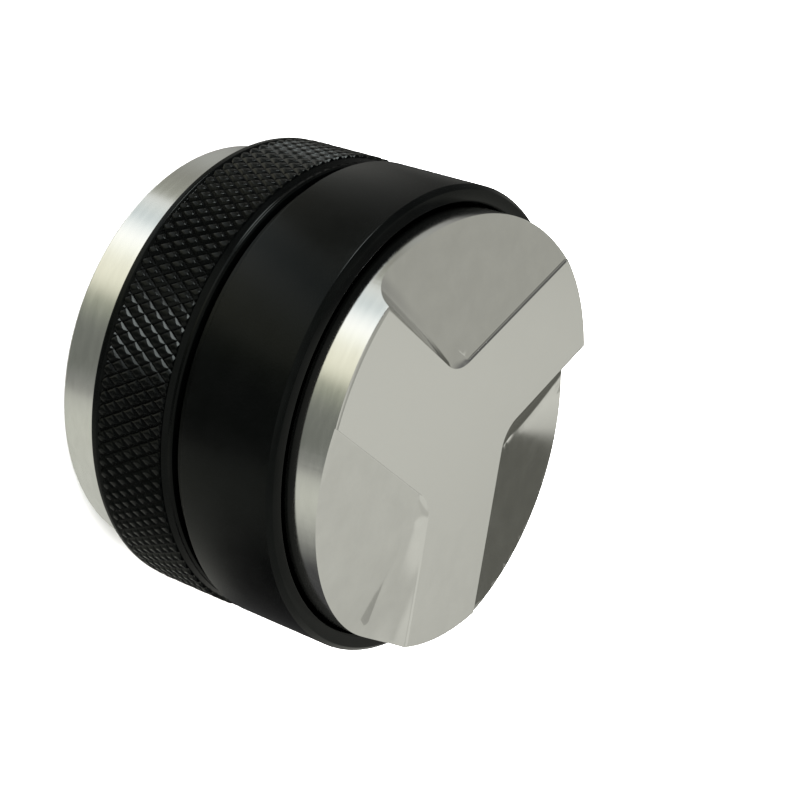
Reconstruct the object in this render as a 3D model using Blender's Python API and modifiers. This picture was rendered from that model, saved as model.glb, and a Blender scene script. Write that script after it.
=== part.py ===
"""A two-headed espresso tamper: a flat tamping head at one end and a three-wing distributor at the other.

Each steel head is screwed to a threaded aluminium hub. The two hubs are pulled together on a centre ring.
A black collar turns on each hub and travels along it, which sets how deep its head reaches into the basket.
The axis is Z, the tamping face lies on z = 0 and the distributor is on top.
"""

from math import acos, atan2, cos, hypot, pi, radians, sin, sqrt

import bmesh
import bpy
from mathutils import Vector
from mathutils.geometry import delaunay_2d_cdt

MM = 0.001
GAP = 0.3 * MM

# Heads
HEAD_RADIUS = 29.175 * MM
TAMPER_THICKNESS = 9.8 * MM
DISTRIBUTOR_THICKNESS = 9.4 * MM
HEIGHT = 44.0 * MM
HEAD_CHAMFER = 0.25 * MM

# Collars
SMOOTH_RADIUS = 31.95 * MM
KNURL_RADIUS = 32.05 * MM
RIM_RADIUS = 31.95 * MM
LIP_RADIUS = 31.2 * MM
SKIRT_BORE = 29.55 * MM
KNURLED_END = 7.5 * MM
KNURLED_START = 21.02 * MM
KNURL_LOW = 9.2 * MM
KNURL_HIGH = 19.7 * MM
SMOOTH_START = 23.07 * MM
SMOOTH_END = 37.7 * MM
WEB_THICKNESS = 5.9 * MM
FRONT_CHAMFER = 0.6 * MM
END_CHAMFER = 0.5 * MM
EDGE_BREAK = 0.25 * MM
SHOULDER_DROP = 0.7 * MM

# Hubs, ring and stud
THREAD_RADIUS = 22.0 * MM
RING_RADIUS = 30.6 * MM
SPIGOT_RADIUS = 9.7 * MM
SPIGOT_REACH = 3.6 * MM
STUD_RADIUS = 4.0 * MM
STUD_LENGTH = 20.0 * MM
HUB_CHAMFER = 0.5 * MM

# Drag rings
CORD_RADIUS = 0.75 * MM
GLAND_INSET = 3.0 * MM

# Head screws, M4 x 16 with a countersunk head
SCREW_COUNT = 3
SCREW_CIRCLE = 16.6 * MM
SCREW_LENGTH = 16.0 * MM
SHANK_RADIUS = 2.0 * MM
SCREW_HEAD_RADIUS = 3.75 * MM
SCREW_HEAD_EDGE = 0.2 * MM
SCREW_SUNK = 0.2 * MM
SOCKET_ACROSS_CORNERS = 2.9 * MM
SOCKET_DEPTH = 1.5 * MM
SOCKET_SIDES = 6
DRILL_ABOVE_FACE = 1.0 * MM

# Distributor ramps: three, each winding down from a shallow crease to a deep step
RAMP_COUNT = 3
RAMP_PHASE = radians(-22.3)
WING_PHASE = RAMP_PHASE + radians(30.0)
CREASE_OFFSET = 9.84 * MM
CREASE_DEPTH = 0.35 * MM
STEP_OFFSET = 5.55 * MM
STEP_DIRECTION = radians(30.0)
CORNER_RADIUS = 5.0 * MM
RAMP_RATE = 0.0935
STEP_FILLET = 6.0 * MM
CREASE_FILLET = 0.3 * MM
CUTTER_REACH = 36.0 * MM
CUTTER_FAR = 50.0 * MM
CUTTER_RISE = 3.0 * MM
STRAIGHT_STATIONS = 6
CORNER_STATIONS = 8
FILLET_STEPS = 5
FOOT_PASSES = 6
FLOOR_TURN = radians(15.0)
FLOOR_STRIDE = 5.0 * MM
FLOOR_MARGIN = 1.2 * MM

# Colour, roughness and metalness of each finish
FINISHES = {
    "stainless_steel": ((0.62, 0.61, 0.58), 0.28, 1.0),
    "black_anodised": ((0.012, 0.013, 0.014), 0.42, 0.0),
    "bare_aluminium": ((0.72, 0.73, 0.75), 0.35, 1.0),
    "fastener_steel": ((0.30, 0.30, 0.31), 0.40, 1.0),
    "nitrile_rubber": ((0.02, 0.02, 0.02), 0.70, 0.0),
}

# Roundness
BODY_STEPS = 72
HUB_STEPS = 48
RING_STEPS = 40
SCREW_STEPS = 16
CORD_SIDES = 8
MERGE_DISTANCE = 0.00001

# Heights that follow from the driving dimensions
TAMPER_HUB_LOW = TAMPER_THICKNESS + GAP
DISTRIBUTOR_BACK = HEIGHT - DISTRIBUTOR_THICKNESS
DISTRIBUTOR_HUB_HIGH = DISTRIBUTOR_BACK - GAP
RING_LOW = KNURLED_START + GAP
RING_HIGH = SMOOTH_START - GAP
MIDDLE = (RING_LOW + RING_HIGH) / 2
SPIGOT_TOP = KNURLED_START + SPIGOT_REACH


def clear_scene():
    for obj in list(bpy.data.objects):
        bpy.data.objects.remove(obj, do_unlink=True)


def new_collection(name, hidden=False):
    made = bpy.data.collections.new(name)
    bpy.context.scene.collection.children.link(made)
    made.hide_render = hidden
    return made


def material(name, colour, roughness, metallic):
    made = bpy.data.materials.new(name)
    made.use_nodes = True
    shader = made.node_tree.nodes["Principled BSDF"]
    shader.inputs["Base Color"].default_value = (*colour, 1.0)
    shader.inputs["Roughness"].default_value = roughness
    shader.inputs["Metallic"].default_value = metallic
    return made


def finished(name, mesh, collection, finish):
    """An object for the mesh. A cutter has no finish, and stays flat shaded."""
    obj = bpy.data.objects.new(name, mesh)
    collection.objects.link(obj)
    if finish:
        mesh.materials.append(finish)
        mesh.shade_smooth()
    return obj


def turned(name, profile, collection, finish, steps, closed=True):
    """A solid turned about Z from (radius, height) points that run down its outer side.
    A closed profile goes on up its inner side, and an open one starts and ends on the axis."""
    mesh = bpy.data.meshes.new(name)
    points = [(radius, 0.0, height) for radius, height in profile]
    count = len(points)
    edges = [(i, (i + 1) % count) for i in range(count if closed else count - 1)]
    mesh.from_pydata(points, edges, [])
    obj = finished(name, mesh, collection, finish)
    spin = obj.modifiers.new("Turn", "SCREW")
    spin.axis = "Z"
    spin.angle = 2 * pi
    spin.steps = steps
    spin.render_steps = steps
    spin.use_merge_vertices = True
    spin.merge_threshold = MERGE_DISTANCE
    spin.use_smooth_shade = True
    return obj


def cut(obj, cutter):
    """Takes the cutter's shape away from the object."""
    cutter.hide_render = True
    cutter.display_type = "WIRE"
    boolean = obj.modifiers.new("Cut " + cutter.name, "BOOLEAN")
    boolean.operation = "DIFFERENCE"
    boolean.solver = "EXACT"
    boolean.object = cutter


def turn_about_axis(obj, angle):
    obj.rotation_euler = (0.0, 0.0, angle)


def mirrored(profile, about):
    """The profile seen in a mirror at that height, still running down its outer side."""
    return [(radius, 2 * about - height) for radius, height in reversed(profile)]


def round_bar(radius, low, high, chamfer):
    """Half the section of a solid bar with both ends chamfered, from the top centre down."""
    return [
        (0.0, high),
        (radius - chamfer, high),
        (radius, high - chamfer),
        (radius, low + chamfer),
        (radius - chamfer, low),
        (0.0, low),
    ]


def screw_profile(low, high):
    """A countersunk screw with its head at the top."""
    head_edge = high - SCREW_HEAD_EDGE
    cone_end = head_edge - (SCREW_HEAD_RADIUS - SHANK_RADIUS)
    return [
        (0.0, high),
        (SCREW_HEAD_RADIUS, high),
        (SCREW_HEAD_RADIUS, head_edge),
        (SHANK_RADIUS, cone_end),
        (SHANK_RADIUS, low + HUB_CHAMFER),
        (SHANK_RADIUS - HUB_CHAMFER, low),
        (0.0, low),
    ]


def countersink_profile(low, high, face):
    """The hole for that screw, through the hub's face and a little past the shank's tip."""
    wall = GAP * sqrt(2)
    cone_end = high - SCREW_HEAD_EDGE - (SCREW_HEAD_RADIUS - SHANK_RADIUS)
    above = face + DRILL_ABOVE_FACE
    return [
        (0.0, above),
        (SHANK_RADIUS + wall + above - cone_end, above),
        (SHANK_RADIUS + GAP, cone_end - wall + GAP),
        (SHANK_RADIUS + GAP, low - GAP),
        (0.0, low - GAP),
    ]


def screw_angles():
    return [WING_PHASE + 2 * pi * k / SCREW_COUNT for k in range(SCREW_COUNT)]


def place_on_circle(obj, angle):
    obj.location = (SCREW_CIRCLE * cos(angle), SCREW_CIRCLE * sin(angle), 0.0)


def ramp_apex():
    """Where the two straight edges of a ramp would meet, in the ramp's own frame.
    Its X axis is square to the crease."""
    return CREASE_OFFSET, (CREASE_OFFSET * sin(STEP_DIRECTION) - STEP_OFFSET) / cos(STEP_DIRECTION)


def floor_height(x, y):
    """A ramp winds down round its apex from the crease to the step, like a turn of a shallow screw."""
    apex_x, apex_y = ramp_apex()
    wound = max(0.0, atan2(y - apex_y, x - apex_x) + pi / 2)
    return HEIGHT - CREASE_DEPTH - RAMP_RATE * hypot(x - apex_x, y - apex_y) * wound


def ramp_outline():
    """Where a ramp's wall meets the wings: (x, y, inward normal, fillet radius), from the crease's rim end
    round the rounded inner corner and out along the step."""
    step_normal = (sin(STEP_DIRECTION), -cos(STEP_DIRECTION))
    centre_x = CREASE_OFFSET + CORNER_RADIUS
    centre_y = (centre_x * step_normal[0] - STEP_OFFSET - CORNER_RADIUS) / cos(STEP_DIRECTION)
    stations = []
    for k in range(STRAIGHT_STATIONS):
        y = -CUTTER_REACH + (centre_y + CUTTER_REACH) * k / STRAIGHT_STATIONS
        stations.append((CREASE_OFFSET, y, (1.0, 0.0), CREASE_FILLET))
    sweep = pi / 2 - STEP_DIRECTION
    for k in range(CORNER_STATIONS + 1):
        share = k / CORNER_STATIONS
        angle = pi - sweep * share
        inward = (-cos(angle), -sin(angle))
        eased = 1 - (1 - share) ** 3
        fillet = CREASE_FILLET + (STEP_FILLET - CREASE_FILLET) * eased
        x = centre_x - CORNER_RADIUS * inward[0]
        y = centre_y - CORNER_RADIUS * inward[1]
        stations.append((x, y, inward, fillet))
    start_x, start_y = stations[-1][:2]
    run = CUTTER_REACH - start_x
    for k in range(1, STRAIGHT_STATIONS + 1):
        along = run * k / STRAIGHT_STATIONS
        x = start_x + along * cos(STEP_DIRECTION)
        y = start_y + along * sin(STEP_DIRECTION)
        stations.append((x, y, step_normal, STEP_FILLET))
    return stations


def wall_section(x, y, inward, fillet):
    """Points from the foot of the fillet on the floor, up the concave arc, and on to the cutter's top."""
    reach = 0.0
    for _ in range(FOOT_PASSES):
        foot_x = x + inward[0] * reach
        foot_y = y + inward[1] * reach
        low = floor_height(foot_x, foot_y)
        bend = acos(1 - min((HEIGHT - low) / fillet, 1.0))
        reach = fillet * sin(bend)
    points = []
    for k in range(FILLET_STEPS + 1):
        angle = bend * k / FILLET_STEPS
        out = fillet * sin(angle)
        points.append((foot_x - inward[0] * out, foot_y - inward[1] * out, low + fillet * (1 - cos(angle))))
    points.append((*points[-1][:2], HEIGHT + CUTTER_RISE))
    return points


def well_inside(point, outline):
    """Whether the point lies inside the closed outline and further than FLOOR_MARGIN from its edges."""
    crossings = 0
    for start, end in zip(outline, outline[1:] + outline[:1]):
        run = end - start
        across = point - start
        if (start.y > point.y) != (end.y > point.y) and across.x < across.y * run.x / run.y:
            crossings += 1
        share = max(0.0, min(1.0, across @ run / run.length_squared))
        if (across - run * share).length < FLOOR_MARGIN:
            return False
    return crossings % 2 == 1


def floor_points(outline):
    """Points of a ramp's floor on rays out from its apex, clear of its walls."""
    apex = Vector(ramp_apex())
    rays = int((pi / 2 + STEP_DIRECTION) / FLOOR_TURN)
    points = []
    for ray in range(1, rays):
        angle = ray * FLOOR_TURN - pi / 2
        for k in range(1, int(CUTTER_REACH / FLOOR_STRIDE)):
            points.append(apex + Vector((cos(angle), sin(angle))) * k * FLOOR_STRIDE)
    return [point for point in points if well_inside(point, outline)]


def fill_floor(shape, edge):
    """Triangles for the winding floor inside its edge vertices."""
    outline = [Vector(vertex.co[:2]) for vertex in edge]
    count = len(outline)
    loop = [(k, (k + 1) % count) for k in range(count)]
    flat = outline + floor_points(outline)
    points, _, faces, sources, _, _ = delaunay_2d_cdt(flat, loop, [], 1, MERGE_DISTANCE * MM)
    made = []
    for point, source in zip(points, sources):
        known = [k for k in source if k < count]
        if known:
            made.append(edge[known[0]])
        else:
            made.append(shape.verts.new((*point, floor_height(*point))))
    for face in faces:
        shape.faces.new([made[k] for k in face])


def ramp_cutter(name, collection):
    """The solid that is milled away for one ramp: a wedge with a winding floor and a wall lofted from a tight
    fillet at the crease to a wide one at the step."""
    columns = [wall_section(*station) for station in ramp_outline()]
    first, last = columns[0], columns[-1]
    corners = [(CUTTER_FAR, last[0][1]), (CUTTER_FAR, first[0][1])]
    shape = bmesh.new()
    rows = [[shape.verts.new(point) for point in column] for column in columns]
    posts = [
        [shape.verts.new((x, y, floor_height(x, y))), shape.verts.new((x, y, HEIGHT + CUTTER_RISE))]
        for x, y in corners
    ]
    for left, right in zip(rows, rows[1:]):
        for k in range(len(left) - 1):
            shape.faces.new((left[k], left[k + 1], right[k + 1], right[k]))
    fill_floor(shape, [row[0] for row in rows] + [post[0] for post in posts])
    shape.faces.new([row[-1] for row in rows] + [post[1] for post in posts])
    shape.faces.new([*rows[-1], posts[0][1], posts[0][0]])
    shape.faces.new([*posts[0], posts[1][1], posts[1][0]])
    shape.faces.new([*rows[0], posts[1][1], posts[1][0]])
    bmesh.ops.recalc_face_normals(shape, faces=shape.faces)
    mesh = bpy.data.meshes.new(name)
    shape.to_mesh(mesh)
    shape.free()
    return finished(name, mesh, collection, None)


def make_screws(side, low, high, face, hub, head, parts, cutters, finish):
    """Three screws of one side, with their countersunk holes in the hub and blind holes in the head.
    On the tamper side the screw heads are at the top, and on the distributor side at the bottom."""
    upright = side == "tamper"
    shaft = screw_profile(low, high)
    hole = countersink_profile(low, high, face)
    if not upright:
        shaft = mirrored(shaft, MIDDLE)
        hole = mirrored(hole, MIDDLE)
    for number, angle in enumerate(screw_angles(), start=1):
        name = f"{side}_screw_{number}"
        screw = turned(name, shaft, parts, finish, SCREW_STEPS, closed=False)
        place_on_circle(screw, angle)
        drill = turned(name + "_drill", hole, cutters, None, 2 * SCREW_STEPS, closed=False)
        place_on_circle(drill, angle)
        cut(hub, drill)
        cut(head, drill)
        socket = hex_cutter(name + "_socket", high if upright else 2 * MIDDLE - high, cutters)
        socket.location.x = screw.location.x
        socket.location.y = screw.location.y
        cut(screw, socket)


def hex_cutter(name, face, collection):
    """A hexagonal socket that reaches SOCKET_DEPTH either way from the screw's face."""
    shape = bmesh.new()
    radius = SOCKET_ACROSS_CORNERS / 2
    bmesh.ops.create_cone(
        shape, cap_ends=True, segments=SOCKET_SIDES, radius1=radius, radius2=radius, depth=2 * SOCKET_DEPTH
    )
    mesh = bpy.data.meshes.new(name)
    shape.to_mesh(mesh)
    shape.free()
    made = finished(name, mesh, collection, None)
    made.location.z = face
    return made


def make_tamper_base(parts, steel):
    profile = round_bar(HEAD_RADIUS, 0.0, TAMPER_THICKNESS, HEAD_CHAMFER)
    return turned("tamper_base", profile, parts, steel, BODY_STEPS, closed=False)


def make_distributor_head(parts, cutters, steel):
    profile = round_bar(HEAD_RADIUS, DISTRIBUTOR_BACK, HEIGHT, HEAD_CHAMFER)
    head = turned("distributor_head", profile, parts, steel, BODY_STEPS, closed=False)
    for k in range(RAMP_COUNT):
        cutter = ramp_cutter(f"ramp_{k + 1}", cutters)
        turn_about_axis(cutter, RAMP_PHASE + 2 * pi * k / RAMP_COUNT)
        cut(head, cutter)
    return head


def collar_inside(open_end, closed_end, gland):
    """The inner side of a collar from its closed end to its open end: thread bore with the drag ring's gland,
    web, then the wide skirt bore. The closed end is at the centre ring."""
    away = 1.0 if open_end > closed_end else -1.0
    bore = THREAD_RADIUS + GAP
    gland_radius = bore + 2 * CORD_RADIUS + GAP
    gland_half = CORD_RADIUS + GAP
    web_end = closed_end + away * WEB_THICKNESS
    return [
        (bore + EDGE_BREAK, closed_end),
        (bore, closed_end + away * EDGE_BREAK),
        (bore, gland - away * gland_half),
        (gland_radius, gland - away * gland_half),
        (gland_radius, gland + away * gland_half),
        (bore, gland + away * gland_half),
        (bore, web_end),
        (SKIRT_BORE, web_end),
        (SKIRT_BORE, open_end - away * EDGE_BREAK),
        (SKIRT_BORE + EDGE_BREAK, open_end),
    ]


def make_knurled_collar(parts, anodised):
    """The knurled band is a plain ring at the height of the knurl's crests."""
    outside = [
        (LIP_RADIUS - EDGE_BREAK, KNURLED_START),
        (LIP_RADIUS, KNURLED_START - EDGE_BREAK),
        (LIP_RADIUS, KNURL_HIGH + SHOULDER_DROP),
        (KNURL_RADIUS, KNURL_HIGH),
        (KNURL_RADIUS, KNURL_LOW),
        (RIM_RADIUS, KNURL_LOW - (KNURL_RADIUS - RIM_RADIUS)),
        (RIM_RADIUS, KNURLED_END + END_CHAMFER),
        (RIM_RADIUS - END_CHAMFER, KNURLED_END),
    ]
    gland = KNURLED_START - GLAND_INSET
    inside = collar_inside(KNURLED_END, KNURLED_START, gland)
    return turned("knurled_collar", outside + inside[::-1], parts, anodised, BODY_STEPS)


def make_smooth_collar(parts, anodised):
    outside = [
        (SMOOTH_RADIUS - FRONT_CHAMFER, SMOOTH_END),
        (SMOOTH_RADIUS, SMOOTH_END - FRONT_CHAMFER),
        (SMOOTH_RADIUS, SMOOTH_START + EDGE_BREAK),
        (SMOOTH_RADIUS - EDGE_BREAK, SMOOTH_START),
    ]
    gland = SMOOTH_START + GLAND_INSET
    inside = collar_inside(SMOOTH_END, SMOOTH_START, gland)
    return turned("smooth_collar", outside + inside, parts, anodised, BODY_STEPS)


def make_centre_ring(parts, anodised):
    bore = SPIGOT_RADIUS + GAP
    profile = [
        (RING_RADIUS - EDGE_BREAK, RING_HIGH),
        (RING_RADIUS, RING_HIGH - EDGE_BREAK),
        (RING_RADIUS, RING_LOW + EDGE_BREAK),
        (RING_RADIUS - EDGE_BREAK, RING_LOW),
        (bore, RING_LOW),
        (bore, RING_HIGH),
    ]
    return turned("centre_ring", profile, parts, anodised, HUB_STEPS)


def make_tamper_hub(parts, aluminium):
    bore = STUD_RADIUS + GAP
    profile = [
        (SPIGOT_RADIUS - HUB_CHAMFER, SPIGOT_TOP),
        (SPIGOT_RADIUS, SPIGOT_TOP - HUB_CHAMFER),
        (SPIGOT_RADIUS, KNURLED_START),
        (THREAD_RADIUS - HUB_CHAMFER, KNURLED_START),
        (THREAD_RADIUS, KNURLED_START - HUB_CHAMFER),
        (THREAD_RADIUS, TAMPER_HUB_LOW + HUB_CHAMFER),
        (THREAD_RADIUS - HUB_CHAMFER, TAMPER_HUB_LOW),
        (bore, TAMPER_HUB_LOW),
        (bore, SPIGOT_TOP),
    ]
    return turned("tamper_hub", profile, parts, aluminium, HUB_STEPS)


def make_distributor_hub(parts, aluminium):
    bore = STUD_RADIUS + GAP
    recess = SPIGOT_RADIUS + GAP
    profile = [
        (THREAD_RADIUS - HUB_CHAMFER, DISTRIBUTOR_HUB_HIGH),
        (THREAD_RADIUS, DISTRIBUTOR_HUB_HIGH - HUB_CHAMFER),
        (THREAD_RADIUS, SMOOTH_START + HUB_CHAMFER),
        (THREAD_RADIUS - HUB_CHAMFER, SMOOTH_START),
        (recess, SMOOTH_START),
        (recess, SPIGOT_TOP + GAP),
        (bore, SPIGOT_TOP + GAP),
        (bore, DISTRIBUTOR_HUB_HIGH),
    ]
    return turned("distributor_hub", profile, parts, aluminium, HUB_STEPS)


def make_centre_stud(parts, steel):
    low = MIDDLE - STUD_LENGTH / 2
    profile = round_bar(STUD_RADIUS, low, low + STUD_LENGTH, HUB_CHAMFER)
    return turned("centre_stud", profile, parts, steel, 2 * SCREW_STEPS, closed=False)


def make_drag_ring(name, height, parts, rubber):
    """An O-ring in its collar's gland, just clear of the hub's thread."""
    centre = THREAD_RADIUS + GAP + CORD_RADIUS
    profile = [
        (
            centre + CORD_RADIUS * cos(-2 * pi * k / CORD_SIDES),
            height + CORD_RADIUS * sin(-2 * pi * k / CORD_SIDES),
        )
        for k in range(CORD_SIDES)
    ]
    return turned(name, profile, parts, rubber, RING_STEPS)


def main():
    clear_scene()
    parts = new_collection("espresso_tamper")
    cutters = new_collection("cutters", hidden=True)
    steel, anodised, aluminium, fastener, rubber = [material(name, *look) for name, look in FINISHES.items()]

    tamper_base = make_tamper_base(parts, steel)
    distributor_head = make_distributor_head(parts, cutters, steel)
    make_knurled_collar(parts, anodised)
    make_smooth_collar(parts, anodised)
    make_centre_ring(parts, anodised)
    tamper_hub = make_tamper_hub(parts, aluminium)
    distributor_hub = make_distributor_hub(parts, aluminium)
    make_centre_stud(parts, fastener)
    make_drag_ring("tamper_drag_ring", KNURLED_START - GLAND_INSET, parts, rubber)
    make_drag_ring("distributor_drag_ring", SMOOTH_START + GLAND_INSET, parts, rubber)

    head_face = KNURLED_START - SCREW_SUNK
    low = head_face - SCREW_LENGTH
    for side, hub, head in (
        ("tamper", tamper_hub, tamper_base),
        ("distributor", distributor_hub, distributor_head),
    ):
        make_screws(side, low, head_face, KNURLED_START, hub, head, parts, cutters, fastener)


main()
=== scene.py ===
"""The looks of the two-headed espresso tamper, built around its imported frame.

Every piece that shows is built again here as a finer mesh: the two steel heads, the collars with a true
diamond knurl, the centre ring and the threaded hubs. The screws, the stud and the drag rings keep their
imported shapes.
"""

from math import acos, atan2, cos, hypot, pi, radians, sin, tan

import bmesh
import bpy
import numpy as np
from mathutils import Matrix, Vector
from mathutils.geometry import delaunay_2d_cdt


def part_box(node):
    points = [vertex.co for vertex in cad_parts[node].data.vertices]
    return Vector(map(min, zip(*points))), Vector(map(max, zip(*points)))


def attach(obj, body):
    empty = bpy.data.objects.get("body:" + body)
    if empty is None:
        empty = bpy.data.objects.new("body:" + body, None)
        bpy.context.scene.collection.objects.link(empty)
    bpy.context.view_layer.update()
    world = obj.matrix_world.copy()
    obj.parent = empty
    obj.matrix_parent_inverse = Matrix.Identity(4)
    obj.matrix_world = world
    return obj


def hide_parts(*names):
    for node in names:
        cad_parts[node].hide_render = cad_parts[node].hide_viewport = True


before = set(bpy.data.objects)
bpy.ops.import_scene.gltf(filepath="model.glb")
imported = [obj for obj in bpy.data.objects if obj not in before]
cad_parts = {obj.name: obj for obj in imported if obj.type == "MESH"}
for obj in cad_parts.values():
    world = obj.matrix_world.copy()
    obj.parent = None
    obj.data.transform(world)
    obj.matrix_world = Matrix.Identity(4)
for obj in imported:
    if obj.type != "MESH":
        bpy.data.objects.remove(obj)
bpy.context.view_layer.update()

MM = 0.001
GAP = 0.3 * MM

# Sizes read from the frame
TAMPER_LOW, TAMPER_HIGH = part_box("tamper_base")
HEAD_LOW, HEAD_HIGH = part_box("distributor_head")
KNURLED_LOW, KNURLED_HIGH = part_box("knurled_collar")
SMOOTH_LOW, SMOOTH_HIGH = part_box("smooth_collar")
RING_LOW, RING_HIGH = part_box("centre_ring")
HEAD_RADIUS = HEAD_HIGH.x
LAND = HEAD_HIGH.z

# Edges of the steel heads
HEAD_CHAMFER = 0.25 * MM
EDGE_SOFTNESS = 0.08 * MM

# Screws that hold the heads to their hubs
SCREW_COUNT = 3
SCREW_TURN = radians(30.0)
SCREW_CIRCLE = 16.6 * MM
SCREW_HOLE_RADIUS = 2.3 * MM
SCREW_HEAD_HEIGHT = 2.2 * MM
COUNTERSINK = 2.6 * MM
DRILL_OVERSHOOT = 1.0 * MM

# Distributor ramps
RAMP_COUNT = 3
RAMP_PHASE = radians(-22.3)
CREASE_OFFSET = 9.84 * MM
STEP_OFFSET = 5.55 * MM
STEP_DIRECTION = radians(30.0)
CORNER_RADIUS = 5.0 * MM
CREASE_DEPTH = 0.35 * MM
RAMP_RATE = 0.0935
STEP_FILLET = 6.0 * MM
CREASE_FILLET = 0.1 * MM
STEP_ROUNDING = 0.9 * MM
CREASE_ROUNDING = 0.05 * MM
LAST_SLOPE = radians(7.0)
CUTTER_REACH = 36.0 * MM
CUTTER_RISE = 3.0 * MM
CUTTER_FAR = 1.4 * CUTTER_REACH
LEAST_DEPTH = 0.012 * MM
LEAST_BEND = 0.002
FOOT_PASSES = 8
STRAIGHT_STATIONS = 24
CORNER_STATIONS = 20
CONCAVE_STEPS = 14
CONVEX_STEPS = 5
FLOOR_TURN = radians(4.0)
FLOOR_STRIDE = 1.5 * MM
FLOOR_MARGIN = 0.3 * FLOOR_STRIDE

# Which finish a face of the distributor head has
WALL_LEAN = 0.35
WALL_SKIN = 0.05 * MM
LAND_SKIN = 0.002 * MM
RAMPS_REACH = 6.0 * MM

# Collars
SKIRT_BORE = 29.55 * MM
THREAD_BORE = 22.3 * MM
WEB_THICKNESS = 5.9 * MM
GLAND_INSET = 3.0 * MM
GLAND_RADIUS = 24.1 * MM
GLAND_HALF = 1.05 * MM
FRONT_CHAMFER = 0.6 * MM
BACK_CHAMFER = 0.25 * MM

# Knurl
KNURL_COUNT = 110
KNURL_PITCH = 3.17 * MM
KNURL_START = 9.2 * MM
KNURL_END = 19.7 * MM
KNURL_DEPTH = 0.38 * MM
KNURL_SECTION = ((0.0, 1.0), (0.32 * MM, 0.26), (0.42 * MM, 0.09), (0.53 * MM, 0.02), (0.62 * MM, 0.0))
KNURL_SPARE_ROWS = 2
RELIEF_DEPTH = 0.42 * MM
RELIEF_LEAD = 0.2 * MM
RIM_RADIUS = 31.95 * MM
RIM_CHAMFER = 0.45 * MM
LIP_RADIUS = 31.2 * MM
LIP_START = 20.4 * MM

# Threads on the hubs
THREAD_PITCH = 1.5 * MM
THREAD_RADIUS = 22.0 * MM
THREAD_DEPTH = 0.92 * MM
THREAD_SECTION = ((0.0, 1.0), (0.25, 1.0), (0.58, 0.06), (0.62, 0.0), (0.74, 0.0), (0.78, 0.06))
THREAD_COLUMNS = 192
THREAD_LEAD = 1.5 * THREAD_PITCH
THREAD_SPARE_TURNS = 3
THREAD_SUNK = 0.15 * MM
HUB_FACE_INSET = 0.4 * MM
SPIGOT_RADIUS = 9.7 * MM
SPIGOT_CHAMFER = 0.5 * MM
STUD_HOLE_RADIUS = 4.3 * MM

# Mesh fineness
HEAD_SEGMENTS = 288
COLLAR_SEGMENTS = 288
HOLE_SEGMENTS = 32
SOFT_STEPS = 3
SOFT_SHARE = 0.45
SHARP_ANGLE = radians(32.0)
SHADING_WEIGHT = 100
ON_AXIS = 1e-9
CUT_CLOSENESS = 1e-8
MERGE_DISTANCE = 2e-6
LEVEL_CLOSENESS = 1e-6

# Camera
CAMERA_AIM = Vector((-0.77, 5.05, 29.64)) * MM
CAMERA_DISTANCE = 269.2 * MM
CAMERA_AZIMUTH = radians(10.38)
CAMERA_ELEVATION = radians(32.28)
CAMERA_ROLL = radians(108.93)
CAMERA_LENS = 88.97
CAMERA_SENSOR = 36.0
CAMERA_NEAR = 0.01

# Noise in the finishes
NOISE_ROUGHNESS = 0.55
NOISE_RANGE = (0.3, 0.7)

# Floor and the light on it
FLOOR_RADIUS = 4.0
FLOOR_MIDDLE = 0.4
FLOOR_DROP = 0.02 * MM
FLOOR_SEGMENTS = 96
SUN_STRENGTH = 12.0
SUN_SPREAD = radians(70.0)
SUN_TILT = (radians(12.0), radians(-18.0), 0.0)

# Colours of the room that the metal mirrors
WHITE = (1.0, 1.0, 1.0, 1.0)
TABLE = (0.84, 0.84, 0.762)
# The next two colours are painted shade: the mirrored table in the tool's own shadow, and the deeper shade of
# it
TABLE_IN_PAINTED_SHADE = (0.68, 0.68, 0.613)
TABLE_IN_DEEP_PAINTED_SHADE = (0.64, 0.64, 0.576)
TABLE_FAR = (0.80, 0.80, 0.725)
ROOM_NEAR = (0.26, 0.265, 0.24)
ROOM_FAR = (0.50, 0.50, 0.445)
ROOM_HIGH = (0.22, 0.22, 0.21)
CARD_SHADE = (0.14, 0.14, 0.12)
UNDER_SHADE = (0.08, 0.08, 0.08)
BOUNCE = (0.80, 0.80, 0.725)
SIDE_LAMP_COLOUR = (17.0, 17.7, 17.5)

# Where the room's parts begin and end: each pair is a range over which one part gives way to the next
ROOM_UP = Vector((-0.938, -0.347, -0.027))
FAR_SIDE = (0.35, 0.60)
EDGE_LIFT = 0.19
EDGE_FAR_LIFT = 0.17
TABLE_END = (-0.02, 0.01)
CEILING_START = (-0.10, 0.15)
CEILING_OVERHEAD = (0.60, 0.72)
# Painted shade on the mirrored table: the lean of its edge, where it starts, where it deepens, and a deep
# band at one side
PAINTED_SHADE_LEAN = 0.6
PAINTED_SHADE_START = (-0.12, -0.05)
DEEP_PAINTED_SHADE_START = (0.06, 0.17)
SIDE_PAINTED_SHADE_START = (0.42, 0.46)
SIDE_PAINTED_SHADE_END = (0.51, 0.56)
CARD_LEFT = (0.084, 0.104)
CARD_RIGHT = (0.24, 0.27)
CARD_TOP = (0.36, 0.42)
CARD_BACK = (0.80, 0.85)
SKIRTING_LEFT = (-0.28, -0.22)
SKIRTING_RIGHT = (0.27, 0.30)
SKIRTING_TOP = (0.17, 0.22)
SKIRTING_BACK = (0.85, 0.88)
BOUNCE_FRONT = (-0.70, -0.50)
BOUNCE_FOOT = (0.0, 0.15)
UNDER_ROUND = (0.60, 0.735)
UNDER_TOP = (-0.64, -0.575)
PANELS_TOP = (-0.42, -0.18)
SIDE_LAMP = Vector((-0.94, -0.30, -0.16))
SIDE_LAMP_RIM = (cos(radians(16.0)), cos(radians(9.0)))

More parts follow.
